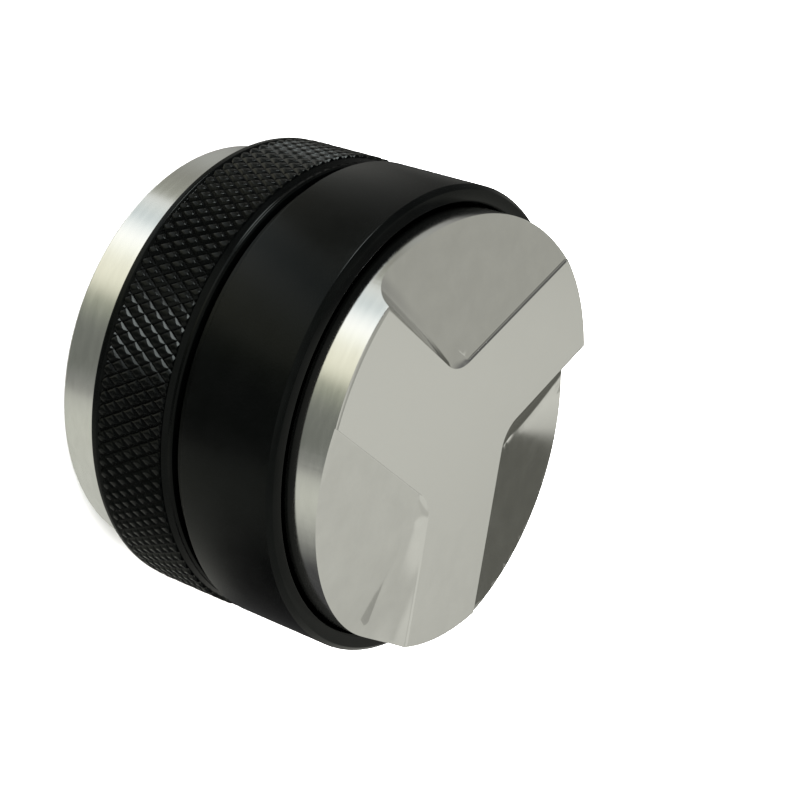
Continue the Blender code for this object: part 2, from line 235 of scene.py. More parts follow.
# The ring of panels: the angle round from its middle, and the colour there
WALL_VIEW = -0.56
PANEL_MIDDLE = radians(-80.0)
PANEL_SPREAD = 1.5
PANELS = (
    (-180.0, (0.16, 0.16, 0.15)),
    (180.0, (0.16, 0.16, 0.15)),
    (-165.0, (0.16, 0.16, 0.15)),
    (-140.0, (0.45, 0.45, 0.42)),
    (-120.0, (0.50, 0.51, 0.47)),
    (-100.0, (0.38, 0.38, 0.33)),
    (-83.0, (0.46, 0.47, 0.39)),
    (-80.5, (1.22, 1.23, 1.17)),
    (-73.0, (0.97, 1.04, 1.01)),
    (-67.0, (0.85, 0.95, 0.96)),
    (-63.0, (1.30, 1.38, 1.35)),
    (-55.0, (1.72, 1.72, 1.65)),
    (-49.0, (1.55, 1.57, 1.39)),
    (-43.0, (1.30, 1.28, 1.05)),
    (-32.0, (1.26, 1.24, 0.99)),
    (-27.0, (0.97, 0.96, 0.76)),
    (-22.5, (0.46, 0.48, 0.37)),
    (-16.0, (0.36, 0.38, 0.31)),
    (-11.0, (0.24, 0.25, 0.22)),
    (10.0, (0.22, 0.23, 0.20)),
    (15.0, (0.30, 0.31, 0.28)),
    (22.5, (0.34, 0.34, 0.31)),
    (24.5, (0.68, 0.69, 0.61)),
    (36.0, (0.77, 0.78, 0.68)),
    (100.0, (0.72, 0.73, 0.66)),
    (142.0, (0.66, 0.66, 0.60)),
    (150.0, (0.16, 0.16, 0.15)),
)


# ---------------------------------------------------------------- mesh helpers


def soften(profile, radius, closed=False):
    """The profile with each inner corner rounded by an arc of SOFT_STEPS steps."""
    points = [Vector((r, z)) for r, z in profile]
    count = len(points)
    made = []
    for i, point in enumerate(points):
        if not closed and i in (0, count - 1):
            made.append(tuple(point))
            continue
        before = points[i - 1] - point
        after = points[(i + 1) % count] - point
        reach = min(radius, SOFT_SHARE * before.length, SOFT_SHARE * after.length)
        start = point + before.normalized() * reach
        end = point + after.normalized() * reach
        for k in range(SOFT_STEPS + 1):
            t = k / SOFT_STEPS
            made.append(tuple(start * (1 - t) ** 2 + point * 2 * t * (1 - t) + end * t * t))
    return made


def ring_grid(profile, segments, closed):
    """Vertices and quads of a profile turned about Z. A point on the axis is a single vertex."""
    angles = 2 * pi * np.arange(segments) / segments
    vertices, rows = [], []
    for r, z in profile:
        if r < ON_AXIS:
            rows.append([len(vertices)] * segments)
            vertices.append((0.0, 0.0, z))
            continue
        rows.append(list(range(len(vertices), len(vertices) + segments)))
        vertices.extend(zip(r * np.cos(angles), r * np.sin(angles), [z] * segments))
    faces = []
    pairs = list(zip(rows, rows[1:] + rows[:1])) if closed else list(zip(rows, rows[1:]))
    for upper, lower in pairs:
        for k in range(segments):
            n = (k + 1) % segments
            corners = [upper[k], lower[k], lower[n], upper[n]]
            faces.append([c for i, c in enumerate(corners) if c not in corners[:i]])
    return vertices, faces


def new_object(name, vertices, faces):
    mesh = bpy.data.meshes.new(name)
    mesh.from_pydata([tuple(map(float, v)) for v in vertices], [], faces)
    mesh.update()
    obj = bpy.data.objects.new(name, mesh)
    bpy.context.scene.collection.objects.link(obj)
    return obj


def turned(name, profile, segments, closed=False):
    return new_object(name, *ring_grid(profile, segments, closed))


def tidy_shape(shape):
    """Consistent outward normals."""
    bmesh.ops.recalc_face_normals(shape, faces=shape.faces)


def smooth(obj):
    obj.data.shade_smooth()
    obj.data.set_sharp_from_angle(angle=SHARP_ANGLE)


def outward(obj):
    shape = bmesh.new()
    shape.from_mesh(obj.data)
    tidy_shape(shape)
    shape.to_mesh(obj.data)
    shape.free()


def apply_modifiers(obj):
    evaluated = obj.evaluated_get(bpy.context.evaluated_depsgraph_get())
    made = bpy.data.meshes.new_from_object(evaluated)
    obj.modifiers.clear()
    obj.data = made


def carve(obj, cutters):
    """Cuts the cutters out of the object for good, and removes them."""
    for cutter in cutters:
        boolean = obj.modifiers.new("Cut", "BOOLEAN")
        boolean.operation = "DIFFERENCE"
        boolean.solver = "EXACT"
        boolean.object = cutter
    apply_modifiers(obj)
    for cutter in cutters:
        bpy.data.objects.remove(cutter)


def zip_rings(shape, outer, inner):
    """Triangles between two rings of vertices that run round Z, each with a count of its own."""
    def by_angle(ring):
        turn = [(np.arctan2(v.co.y, v.co.x) % (2 * pi), v.index, v) for v in ring]
        return sorted(turn, key=lambda t: t[:2])

    a, b = by_angle(outer), by_angle(inner)
    i = j = 0
    while i < len(a) or j < len(b):
        next_a = a[(i + 1) % len(a)][0] + 2 * pi * ((i + 1) // len(a))
        next_b = b[(j + 1) % len(b)][0] + 2 * pi * ((j + 1) // len(b))
        va, vb = a[i % len(a)][2], b[j % len(b)][2]
        if j >= len(b) or (i < len(a) and next_a <= next_b):
            shape.faces.new((va, a[(i + 1) % len(a)][2], vb))
            i += 1
        else:
            shape.faces.new((va, b[(j + 1) % len(b)][2], vb))
            j += 1


def cut_level(shape, height, keep_above):
    """Cuts the mesh flat at that height and gives back the ring of vertices along the cut."""
    normal = (0.0, 0.0, -1.0 if keep_above else 1.0)
    geometry = shape.verts[:] + shape.edges[:] + shape.faces[:]
    bmesh.ops.bisect_plane(
        shape, geom=geometry, plane_co=(0, 0, height), plane_no=normal, clear_outer=True, dist=CUT_CLOSENESS
    )
    bmesh.ops.remove_doubles(shape, verts=shape.verts, dist=MERGE_DISTANCE)
    shape.verts.index_update()
    ring = [v for v in shape.verts if v.is_boundary and abs(v.co.z - height) < LEVEL_CLOSENESS]
    for v in ring:
        v.co.z = height
    return ring


def add_rings(shape, profile, segments, closed=False):
    """Adds a turned surface to the mesh and gives back its first and last rings."""
    vertices, faces = ring_grid(profile, segments, closed)
    made = [shape.verts.new(v) for v in vertices]
    for face in faces:
        shape.faces.new([made[i] for i in face])
    shape.verts.index_update()
    return made[:segments], made[-segments:]


def object_from(shape, name):
    tidy_shape(shape)
    mesh = bpy.data.meshes.new(name)
    shape.to_mesh(mesh)
    shape.free()
    obj = bpy.data.objects.new(name, mesh)
    bpy.context.scene.collection.objects.link(obj)
    return obj


# ---------------------------------------------------------------- steel heads


def drills(name, profile):
    """Three cutters of that profile, one for each screw of a head."""
    made = []
    for k in range(SCREW_COUNT):
        angle = RAMP_PHASE + SCREW_TURN + 2 * pi * k / SCREW_COUNT
        drill = turned(f"{name}_{k + 1}", profile, HOLE_SEGMENTS)
        outward(drill)
        drill.data.transform(Matrix.Translation(Vector((cos(angle), sin(angle), 0.0)) * SCREW_CIRCLE))
        made.append(drill)
    return made


def screw_holes(name, low, high):
    """Three blind holes for the screws that hold a head to its hub."""
    return drills(name, [(0.0, high), (SCREW_HOLE_RADIUS, high), (SCREW_HOLE_RADIUS, low), (0.0, low)])


def steel_disc(name, low, high):
    """A head before its ramps and holes are cut: a plain disc with a fine chamfer at both rims."""
    profile = [
        (0.0, high),
        (HEAD_RADIUS - HEAD_CHAMFER, high),
        (HEAD_RADIUS, high - HEAD_CHAMFER),
        (HEAD_RADIUS, low + HEAD_CHAMFER),
        (HEAD_RADIUS - HEAD_CHAMFER, low),
        (0.0, low),
    ]
    disc = turned(name, soften(profile, EDGE_SOFTNESS), HEAD_SEGMENTS)
    outward(disc)
    return disc


def make_tamper_base():
    low, high = TAMPER_LOW.z, TAMPER_HIGH.z
    head = steel_disc("tamper_base_steel", low, high)
    screw_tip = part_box("tamper_screw_1")[0].z - GAP
    carve(head, screw_holes("tamper_hole", screw_tip, high + DRILL_OVERSHOOT))
    return head


def ramp_apex():
    """Where the two straight edges of a ramp would meet."""
    return CREASE_OFFSET, (CREASE_OFFSET * sin(STEP_DIRECTION) - STEP_OFFSET) / cos(STEP_DIRECTION)


def floor_height(x, y):
    """A ramp winds down round its apex from the crease to the deep step, like a turn of a shallow screw."""
    apex_x, apex_y = ramp_apex()
    wound = max(0.0, atan2(y - apex_y, x - apex_x) + pi / 2)
    return LAND - CREASE_DEPTH - RAMP_RATE * hypot(x - apex_x, y - apex_y) * wound


def ramp_outline():
    """Stations along a ramp's edge on the wings.

    Each is x, y, the inward normal, the share of the way round to the deep step, and the share out along it.
    """
    step_normal = (sin(STEP_DIRECTION), -cos(STEP_DIRECTION))
    centre_x = CREASE_OFFSET + CORNER_RADIUS
    centre_y = (centre_x * step_normal[0] - STEP_OFFSET - CORNER_RADIUS) / cos(STEP_DIRECTION)
    stations = []
    for k in range(STRAIGHT_STATIONS):
        y = -CUTTER_REACH + (centre_y + CUTTER_REACH) * k / STRAIGHT_STATIONS
        stations.append((CREASE_OFFSET, y, (1.0, 0.0), 0.0, 0.0))
    sweep = pi / 2 - STEP_DIRECTION
    for k in range(CORNER_STATIONS + 1):
        share = k / CORNER_STATIONS
        angle = pi - sweep * share
        inward = (-cos(angle), -sin(angle))
        x = centre_x - CORNER_RADIUS * inward[0]
        y = centre_y - CORNER_RADIUS * inward[1]
        stations.append((x, y, inward, 1 - (1 - share) ** 3, 0.0))
    start_x, start_y = stations[-1][:2]
    run = CUTTER_REACH - start_x
    for k in range(1, STRAIGHT_STATIONS + 1):
        along = run * k / STRAIGHT_STATIONS
        x = start_x + along * cos(STEP_DIRECTION)
        y = start_y + along * sin(STEP_DIRECTION)
        stations.append((x, y, step_normal, 1.0, k / STRAIGHT_STATIONS))
    return stations


def wall_section(x, y, inward, share, outer):
    """One section of a ramp's wall, from the floor up a concave arc and over a small convex one."""
    concave = CREASE_FILLET + (STEP_FILLET - CREASE_FILLET) * share
    convex = CREASE_ROUNDING * (1 + share) + (STEP_ROUNDING - 2 * CREASE_ROUNDING) * outer
    reach = 0.0
    for _ in range(FOOT_PASSES):
        foot_x = x + inward[0] * reach
        foot_y = y + inward[1] * reach
        low = floor_height(foot_x, foot_y)
        depth = max(LAND - low, LEAST_DEPTH)
        share_left = (concave + convex * cos(LAST_SLOPE) - depth) / (concave + convex)
        bend = acos(min(max(share_left, 0.0), cos(LAST_SLOPE + LEAST_BEND)))
        straight = max(0.0, depth - concave - convex * cos(LAST_SLOPE))
        reach = concave * sin(bend) + convex * (sin(bend) - sin(LAST_SLOPE))
    points = []
    for k in range(CONCAVE_STEPS + 1):
        angle = bend * k / CONCAVE_STEPS
        points.append((concave * sin(angle), concave * (1 - cos(angle))))
    out, rise = points[-1]
    rise += straight
    for k in range(1 if straight == 0.0 else 0, CONVEX_STEPS + 1):
        angle = bend + (LAST_SLOPE - bend) * k / CONVEX_STEPS
        points.append((out + convex * (sin(bend) - sin(angle)), rise + convex * (cos(angle) - cos(bend))))
    if straight == 0.0:
        below, above = points[CONCAVE_STEPS - 1], points[CONCAVE_STEPS]
        points.insert(CONCAVE_STEPS, tuple(0.5 * (a + b) for a, b in zip(below, above)))
    out, rise = points[-1]
    last = CUTTER_RISE / 3
    points.append((out + last, rise + last * tan(LAST_SLOPE)))
    made = [(foot_x - inward[0] * o, foot_y - inward[1] * o, low + r) for o, r in points]
    made.append((made[-1][0], made[-1][1], LAND + CUTTER_RISE))
    return made


def floor_grid():
    """Points of a ramp's floor, on rays out from its apex."""
    apex_x, apex_y = ramp_apex()
    points = []
    sweep = pi / 2 + STEP_DIRECTION
    for j in range(1, int(sweep / FLOOR_TURN)):
        angle = j * FLOOR_TURN - pi / 2
        for k in range(1, int(CUTTER_REACH / FLOOR_STRIDE)):
            out = k * FLOOR_STRIDE
            points.append(Vector((apex_x + out * cos(angle), apex_y + out * sin(angle))))
    return points


def inside(point, outline, margin):
    """Whether the point lies inside the closed outline and further than the margin from its edges."""
    x, y = point
    crossings = 0
    for (ax, ay), (bx, by) in zip(outline, outline[1:] + outline[:1]):
        if (ay > y) != (by > y) and x < ax + (y - ay) * (bx - ax) / (by - ay):
            crossings += 1
        run = Vector((bx - ax, by - ay))
        share = max(0.0, min(1.0, (Vector((x - ax, y - ay)) @ run) / max(run.length_squared, 1e-12)))
        if (Vector((x - ax, y - ay)) - run * share).length < margin:
            return False
    return crossings % 2 == 1


def ramp_cutter(name):
    """What is cut away for one ramp: its wall, its floor, and a flat top and sides clear of the head."""
    columns = [wall_section(*station) for station in ramp_outline()]
    first, last = columns[0], columns[-1]
    shape = bmesh.new()
    rows = [[shape.verts.new(point) for point in column] for column in columns]
    posts = [
        [shape.verts.new((x, y, floor_height(x, y))), shape.verts.new((x, y, LAND + CUTTER_RISE))]
        for x, y in ((CUTTER_FAR, last[0][1]), (CUTTER_FAR, first[0][1]))
    ]
    for left, right in zip(rows, rows[1:]):
        for k in range(len(left) - 1):
            shape.faces.new((left[k], left[k + 1], right[k + 1], right[k]))
    edge = [row[0] for row in rows] + [post[0] for post in posts]
    outline = [tuple(vertex.co[:2]) for vertex in edge]
    extra = [point for point in floor_grid() if inside(point, outline, FLOOR_MARGIN)]
    count = len(outline)
    loop = [(k, (k + 1) % count) for k in range(count)]
    flat = [Vector(point) for point in outline] + extra
    points, _, faces, sources, _, _ = delaunay_2d_cdt(flat, loop, [], 1, ON_AXIS)
    made = []
    for point, source in zip(points, sources):
        known = [k for k in source if k < count]
        if known:
            made.append(edge[known[0]])
        else:
            made.append(shape.verts.new((point.x, point.y, floor_height(point.x, point.y))))
    for face in faces:
        shape.faces.new([made[k] for k in face])
    shape.faces.new([row[-1] for row in rows] + [post[1] for post in posts])
    shape.faces.new([*rows[-1], posts[0][1], posts[0][0]])
    shape.faces.new([*posts[0], posts[1][1], posts[1][0]])
    shape.faces.new([*rows[0], posts[1][1], posts[1][0]])
    return object_from(shape, name)


def make_distributor_head():
    low, high = HEAD_LOW.z, LAND
    head = steel_disc("distributor_head_steel", low, high)
    cutters = []
    for k in range(RAMP_COUNT):
        cutter = ramp_cutter(f"ramp_{k + 1}")
        cutter.data.transform(Matrix.Rotation(RAMP_PHASE + 2 * pi * k / RAMP_COUNT, 4, "Z"))
        cutters.append(cutter)
    screw_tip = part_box("distributor_screw_1")[1].z + GAP
    carve(head, cutters + screw_holes("distributor_hole", low - DRILL_OVERSHOOT, screw_tip))
    return head


# ---------------------------------------------------------------- collars and ring


def collar_bore(open_end, closed_end):
    """The inner side of a collar from its closed end to its open end."""
    away = 1.0 if open_end > closed_end else -1.0
    gland = closed_end + away * GLAND_INSET
    web_end = closed_end + away * WEB_THICKNESS
    return [
        (THREAD_BORE + BACK_CHAMFER, closed_end),
        (THREAD_BORE, closed_end + away * BACK_CHAMFER),
        (THREAD_BORE, gland - away * GLAND_HALF),
        (GLAND_RADIUS, gland - away * GLAND_HALF),
        (GLAND_RADIUS, gland + away * GLAND_HALF),
        (THREAD_BORE, gland + away * GLAND_HALF),
        (THREAD_BORE, web_end),
        (SKIRT_BORE, web_end),
        (SKIRT_BORE, open_end - away * BACK_CHAMFER),
        (SKIRT_BORE + BACK_CHAMFER, open_end),
    ]


def make_smooth_collar():
    radius, low, high = SMOOTH_HIGH.x, SMOOTH_LOW.z, SMOOTH_HIGH.z
    outside = [
        (radius - FRONT_CHAMFER, high),
        (radius, high - FRONT_CHAMFER),
        (radius, low + BACK_CHAMFER),
        (radius - BACK_CHAMFER, low),
    ]
    profile = soften(outside + collar_bore(high, low), EDGE_SOFTNESS, closed=True)
    collar = turned("smooth_collar_anodised", profile, COLLAR_SEGMENTS, closed=True)
    outward(collar)
    return collar


def make_centre_ring():
    radius, low, high = RING_HIGH.x, RING_LOW.z, RING_HIGH.z
    bore = SPIGOT_RADIUS + GAP
    outside = [
        (radius - BACK_CHAMFER, high),
        (radius, high - BACK_CHAMFER),
        (radius, low + BACK_CHAMFER),
        (radius - BACK_CHAMFER, low),
        (bore, low),
        (bore, high),
    ]
    profile = soften(outside, EDGE_SOFTNESS, closed=True)
    ring = turned("centre_ring_anodised", profile, COLLAR_SEGMENTS, closed=True)
    outward(ring)
    return ring


def knurl_surface(shape, crest, middle, rows):
    """Raised diamonds between two crossed sets of grooves, that many rows either side of the middle."""
    made = {}

    def vertex(a, b, depth):
        """The point at lattice place (a, b), at that share of the groove's depth below the crest."""
        key = (round(a - b, 6), round((a + b) % (2 * KNURL_COUNT), 6) % (2 * KNURL_COUNT))
        if key not in made:
            angle = (a + b) * pi / KNURL_COUNT
            radius = crest - depth * KNURL_DEPTH
            height = middle + (a - b) * KNURL_PITCH / 2
            made[key] = shape.verts.new((radius * cos(angle), radius * sin(angle), height))
        return made[key]

    half_width = pi * crest / KNURL_COUNT
    slope = hypot(half_width, KNURL_PITCH / 2)
    across = half_width * KNURL_PITCH / slope
    for row in range(-rows, rows + 1):
        for column in range(KNURL_COUNT):
            i = row + column
            rings = []
            for inset, depth in KNURL_SECTION:
                t = inset / across
                places = ((t, t), (1 - t, t), (1 - t, 1 - t), (t, 1 - t))
                rings.append([vertex(i + u, column + v, depth) for u, v in places])
            for outer, inner in zip(rings, rings[1:]):
                for k in range(4):
                    n = (k + 1) % 4
                    shape.faces.new((outer[k], outer[n], inner[n], inner[k]))
            shape.faces.new(rings[-1])


def make_knurled_collar():
    crest, low, high = KNURLED_HIGH.x, KNURLED_LOW.z, KNURLED_HIGH.z
    shape = bmesh.new()
    middle = (KNURL_START + KNURL_END) / 2
    rows = int((KNURL_END - KNURL_START) / KNURL_PITCH) + KNURL_SPARE_ROWS
    knurl_surface(shape, crest, middle, rows)
    top = cut_level(shape, KNURL_END, keep_above=False)
    bottom = cut_level(shape, KNURL_START, keep_above=True)
    relief = crest - RELIEF_DEPTH
    upper = [
        (relief, KNURL_END),
        (LIP_RADIUS, LIP_START),
        (LIP_RADIUS, high - BACK_CHAMFER),
        (LIP_RADIUS - BACK_CHAMFER, high),
    ]
    lower = [
        (RIM_RADIUS - RIM_CHAMFER, low),
        (RIM_RADIUS, low + RIM_CHAMFER),
        (RIM_RADIUS, KNURL_START - RIM_CHAMFER),
        (relief, KNURL_START - RELIEF_LEAD),
        (relief, KNURL_START),
    ]
    profile = soften(upper + collar_bore(low, high) + lower, EDGE_SOFTNESS)
    first, last = add_rings(shape, profile, COLLAR_SEGMENTS)
    zip_rings(shape, top, first)
    zip_rings(shape, bottom, last)
    return object_from(shape, "knurled_collar_anodised")


# ---------------------------------------------------------------- hubs


def thread_surface(shape, low, high):
    """A right-hand thread that runs past both ends, tapered in to its root there."""
    points = len(THREAD_SECTION)
    turns = int((high - low) / THREAD_PITCH) + THREAD_SPARE_TURNS
    start = low - THREAD_LEAD
    root = THREAD_RADIUS - THREAD_DEPTH
    columns = []
    for column in range(THREAD_COLUMNS):
        share = column / THREAD_COLUMNS
        angle = 2 * pi * share
        line = []
        for turn in range(turns + 1):
            for along, height in THREAD_SECTION:
                z = start + THREAD_PITCH * (turn + along + share)
                radius = root + THREAD_DEPTH * (1.0 - height)
                taper = root - THREAD_SUNK + max(0.0, min(z - low, high - z))
                radius = max(min(radius, taper), root - THREAD_SUNK)
                line.append(shape.verts.new((radius * cos(angle), radius * sin(angle), z)))
        columns.append(line)
    for column in range(THREAD_COLUMNS):
        left = columns[column]
        right = columns[(column + 1) % THREAD_COLUMNS]
        shift = points if column == THREAD_COLUMNS - 1 else 0
        for k in range(len(left) - 1 - shift):
            a, b = k + shift, k
            shape.faces.new((left[a], left[a + 1], right[b + 1], right[b]))


def make_hub(name, low, high, inside_top, inside_bottom):
    """A threaded hub: its thread, then the rest of its section from the top face round to the bottom one."""
    shape = bmesh.new()
    thread_surface(shape, low, high)
    top = cut_level(shape, high, keep_above=False)
    bottom = cut_level(shape, low, keep_above=True)
    face = THREAD_RADIUS - THREAD_DEPTH - HUB_FACE_INSET
    profile = soften([(face, high), *inside_top, *inside_bottom, (face, low)], EDGE_SOFTNESS)
    first, last = add_rings(shape, profile, THREAD_COLUMNS)
    zip_rings(shape, top, first)
    zip_rings(shape, bottom, last)
    return object_from(shape, name)


def make_tamper_hub():
    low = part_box("tamper_hub")[0].z
    high = KNURLED_HIGH.z
    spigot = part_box("tamper_hub")[1].z
    top = [
        (SPIGOT_RADIUS, high),
        (SPIGOT_RADIUS, spigot - SPIGOT_CHAMFER),
        (SPIGOT_RADIUS - SPIGOT_CHAMFER, spigot),
        (STUD_HOLE_RADIUS, spigot),
    ]
    hub = make_hub("tamper_hub_threaded", low, high, top, [(STUD_HOLE_RADIUS, low)])
    drill_hub(hub, "tamper_screw_1", high)
    return hub


def make_distributor_hub():
    low, high = SMOOTH_LOW.z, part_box("distributor_hub")[1].z
    recess = SPIGOT_RADIUS + GAP
    recess_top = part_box("tamper_hub")[1].z + GAP
    bottom = [(STUD_HOLE_RADIUS, recess_top), (recess, recess_top), (recess, low)]
    hub = make_hub("distributor_hub_threaded", low, high, [(STUD_HOLE_RADIUS, high)], bottom)
    drill_hub(hub, "distributor_screw_1", low)
    return hub


def drill_hub(hub, screw, face):
    """Countersunk holes for the screws, right through the hub from that face."""
    tip_low, tip_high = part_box(screw)[0].z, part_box(screw)[1].z
    upright = abs(tip_high - face) < abs(tip_low - face)
    sign = 1.0 if upright else -1.0
    head = tip_high if upright else tip_low
    far = tip_low if upright else tip_high
    wide = SCREW_HOLE_RADIUS + COUNTERSINK
    above = face + sign * DRILL_OVERSHOOT
    neck = head - sign * SCREW_HEAD_HEIGHT
    end = min(neck, far) if upright else max(neck, far)
    profile = [
        (0.0, above),
        (wide, above),
        (SCREW_HOLE_RADIUS, above - sign * COUNTERSINK),
        (SCREW_HOLE_RADIUS, end),
        (0.0, far),
    ]
    carve(hub, drills(f"{screw}_drill", profile))


# ---------------------------------------------------------------- materials


class Nodes:
    """A short way to write a node tree."""

    def __init__(self, tree):
        self.tree = tree

    def add(self, kind, **settings):
        node = self.tree.nodes.new(kind)
        for key, value in settings.items():
            setattr(node, key, value)
        return node

    def link(self, source, target):
        self.tree.links.new(source, target)

    def math(self, operation, first, second=None):
        node = self.add("ShaderNodeMath", operation=operation)
        for socket, value in zip(node.inputs, (first, second)):
            if value is None:
                continue
            if isinstance(value, (int, float)):
                socket.default_value = value
            else:
                self.link(value, socket)
        return node.outputs[0]

    def toward(self, place, direction):
        """The cosine between a direction looked in and a given one."""
        node = self.add("ShaderNodeVectorMath", operation="DOT_PRODUCT")
        self.link(place, node.inputs[0])
        node.inputs[1].default_value = direction.normalized()
        return node.outputs["Value"]

    def step(self, value, limits, bottom, top):
        node = self.add("ShaderNodeMapRange", interpolation_type="SMOOTHSTEP")
        self.link(value, node.inputs["Value"])
        for socket, number in zip(node.inputs[1:5], (*limits, bottom, top)):
            socket.default_value = number
        return node.outputs[0]

    def past(self, value, limits):
        """Nought below the limits and one above them."""
        return self.step(value, limits, 0.0, 1.0)

    def before(self, value, limits):
        """One below the limits and nought above them."""
        return self.step(value, limits, 1.0, 0.0)

    def both(self, first, second):
        return self.math("MULTIPLY", first, second)

    def blend(self, share, first, second):
        node = self.add("ShaderNodeMix", data_type="RGBA")
        self.link(share, node.inputs[0])
        for socket, colour in ((node.inputs[6], first), (node.inputs[7], second)):
            if isinstance(colour, tuple):
                socket.default_value = (*colour, 1.0)
            else:
                self.link(colour, socket)
        return node.outputs[2]

    def noise(self, vector, scale, detail):
        node = self.add("ShaderNodeTexNoise")
        node.inputs["Scale"].default_value = scale
        node.inputs["Detail"].default_value = detail
        node.inputs["Roughness"].default_value = NOISE_ROUGHNESS
        self.link(vector, node.inputs["Vector"])
        return node.outputs[0]

    def span(self, value, low, high):
        """Stretches a noise, whose values mostly lie in NOISE_RANGE, over the range asked."""
        node = self.add("ShaderNodeMapRange")
        self.link(value, node.inputs["Value"])
        for socket, number in zip(node.inputs[1:5], (*NOISE_RANGE, low, high)):
            socket.default_value = number
        return node.outputs[0]

    def bump(self, height, strength, distance):
        node = self.add("ShaderNodeBump")
        node.inputs["Strength"].default_value = strength
        node.inputs["Distance"].default_value = distance
        self.link(height, node.inputs["Height"])
        return node.outputs[0]

    def place(self):
        return self.add("ShaderNodeTexCoord").outputs["Object"]

    def turning(self, along=0.02):
        """Coordinates that change fast across a turned surface and slowly along the tool's cut."""
        place = self.place()
        parts = self.add("ShaderNodeSeparateXYZ")
        self.link(place, parts.inputs[0])
        x, y, z = parts.outputs
        radius = self.math("SQRT", self.math("ADD", self.math("MULTIPLY", x, x), self.math("MULTIPLY", y, y)))
        joined = self.add("ShaderNodeCombineXYZ")
        self.link(radius, joined.inputs[0])
        self.link(z, joined.inputs[1])
        self.link(self.math("MULTIPLY", self.math("ADD", x, y), along), joined.inputs[2])
        return joined.outputs[0]


class Coat(Nodes):
    """The node tree of one material."""

    def __init__(self, name):
        self.material = bpy.data.materials.new(name)
        self.material.use_nodes = True
        super().__init__(self.material.node_tree)
        self.shader = self.tree.nodes["Principled BSDF"]

    def set(self, **values):
        for key, value in values.items():
            self.shader.inputs[key.replace("_", " ")].default_value = value

    def colours(self, noise, first, second):
        """The base colour, wandering between two with the noise."""
        self.link(self.blend(self.span(noise, 0.0, 1.0), first, second), self.shader.inputs["Base Color"])

    def roughness(self, noise, low, high):
        self.link(self.span(noise, low, high), self.shader.inputs["Roughness"])

    def grain(self, noise, strength, depth):
        self.link(self.bump(noise, strength, depth), self.shader.inputs["Normal"])


def turned_steel():
    """Bright stainless steel off the lathe: fine rings round the axis, which draw reflections out."""
    m = Coat("turned_stainless_steel")
    fine = m.noise(m.turning(), 9000.0, 2.0)
    broad = m.noise(m.turning(0.3), 900.0, 3.0)
    m.colours(broad, (0.60, 0.60, 0.595), (0.65, 0.65, 0.645))
    m.roughness(broad, 0.11, 0.15)
    m.grain(fine, 0.25, 0.002 * MM)
    m.set(Metallic=1.0, Anisotropic=0.9, Anisotropic_Rotation=0.0)
    tangent = m.add("ShaderNodeTangent", direction_type="RADIAL", axis="Z")
    m.link(tangent.outputs[0], m.shader.inputs["Tangent"])
    return m.material


def satin_steel(name, rough_low, rough_high, grain):
    """Stainless steel with a soft satin finish and a faint mottle."""
    m = Coat(name)
    place = m.place()
    mottle = m.noise(place, 260.0, 4.0)
    grit = m.noise(place, 9000.0, 2.0)
    m.colours(mottle, (0.60, 0.60, 0.595), (0.64, 0.64, 0.635))
    m.roughness(mottle, rough_low, rough_high)
    m.grain(grit, grain, 0.002 * MM)
    m.set(Metallic=1.0)
    return m.material


def anodised(name, rough_low, rough_high):
    """Satin black anodised aluminium with the fine grain of a blasted surface."""
    m = Coat(name)
    place = m.place()
    mottle = m.noise(place, 300.0, 4.0)
    grit = m.noise(place, 5200.0, 3.0)
    m.colours(mottle, (0.0002, 0.0003, 0.0003), (0.0006, 0.0007, 0.0007))
    m.roughness(mottle, rough_low, rough_high)
    m.grain(grit, 0.5, 0.006 * MM)
    m.set(Metallic=0.0, Specular_IOR_Level=0.10, Specular_Tint=(0.93, 1.0, 0.98, 1.0))
    return m.material


def bare_aluminium():
    m = Coat("turned_aluminium")
    lines = m.noise(m.turning(), 5000.0, 2.0)
    broad = m.noise(m.place(), 300.0, 3.0)
    m.colours(broad, (0.62, 0.63, 0.65), (0.72, 0.73, 0.75))
    m.roughness(broad, 0.28, 0.38)
    m.grain(lines, 0.4, 0.003 * MM)
    m.set(Metallic=1.0)
    return m.material


def fastener_steel():
    m = Coat("plain_fastener_steel")
    broad = m.noise(m.place(), 900.0, 4.0)
    m.colours(broad, (0.25, 0.25, 0.26), (0.34, 0.34, 0.35))
    m.roughness(broad, 0.34, 0.48)
    m.grain(broad, 0.3, 0.004 * MM)
    m.set(Metallic=1.0)
    return m.material


def nitrile():
    m = Coat("black_nitrile")
    broad = m.noise(m.place(), 1200.0, 4.0)
    m.colours(broad, (0.012, 0.012, 0.012), (0.022, 0.022, 0.022))
    m.roughness(broad, 0.55, 0.72)
    m.grain(broad, 0.3, 0.01 * MM)
    return m.material


def coat(obj, *materials):
    obj.data.materials.clear()
    for material in materials:
        obj.data.materials.append(material)


def paint_head(head, wall, land, ramp):
    """The turned wall, the wing tops and the milled ramps of the distributor each have their own finish."""
    coat(head, wall, land, ramp)
    for face in head.data.polygons:
        centre = face.center
        out = hypot(centre.x, centre.y)
        at_side = face.normal.z < WALL_LEAN and out > HEAD_RADIUS - WALL_SKIN
        if at_side or centre.z < LAND - RAMPS_REACH:
            face.material_index = 0
        elif centre.z > LAND - LAND_SKIN or out > HEAD_RADIUS - HEAD_CHAMFER:
            face.material_index = 1
        else:
            face.material_index = 2


# ---------------------------------------------------------------- studio


def make_floor():
    profile = [(radius, -FLOOR_DROP) for radius in (FLOOR_RADIUS, FLOOR_MIDDLE, 0.0)]
    floor = turned("floor", profile, FLOOR_SEGMENTS)
    m = Coat("pale_floor")
    cloud = m.noise(m.place(), 3.0, 2.0)
    m.colours(cloud, (0.90, 0.90, 0.90), (0.92, 0.92, 0.92))
    m.set(Roughness=0.9, Specular_IOR_Level=0.1)
    coat(floor, m.material)
    floor.visible_glossy = False


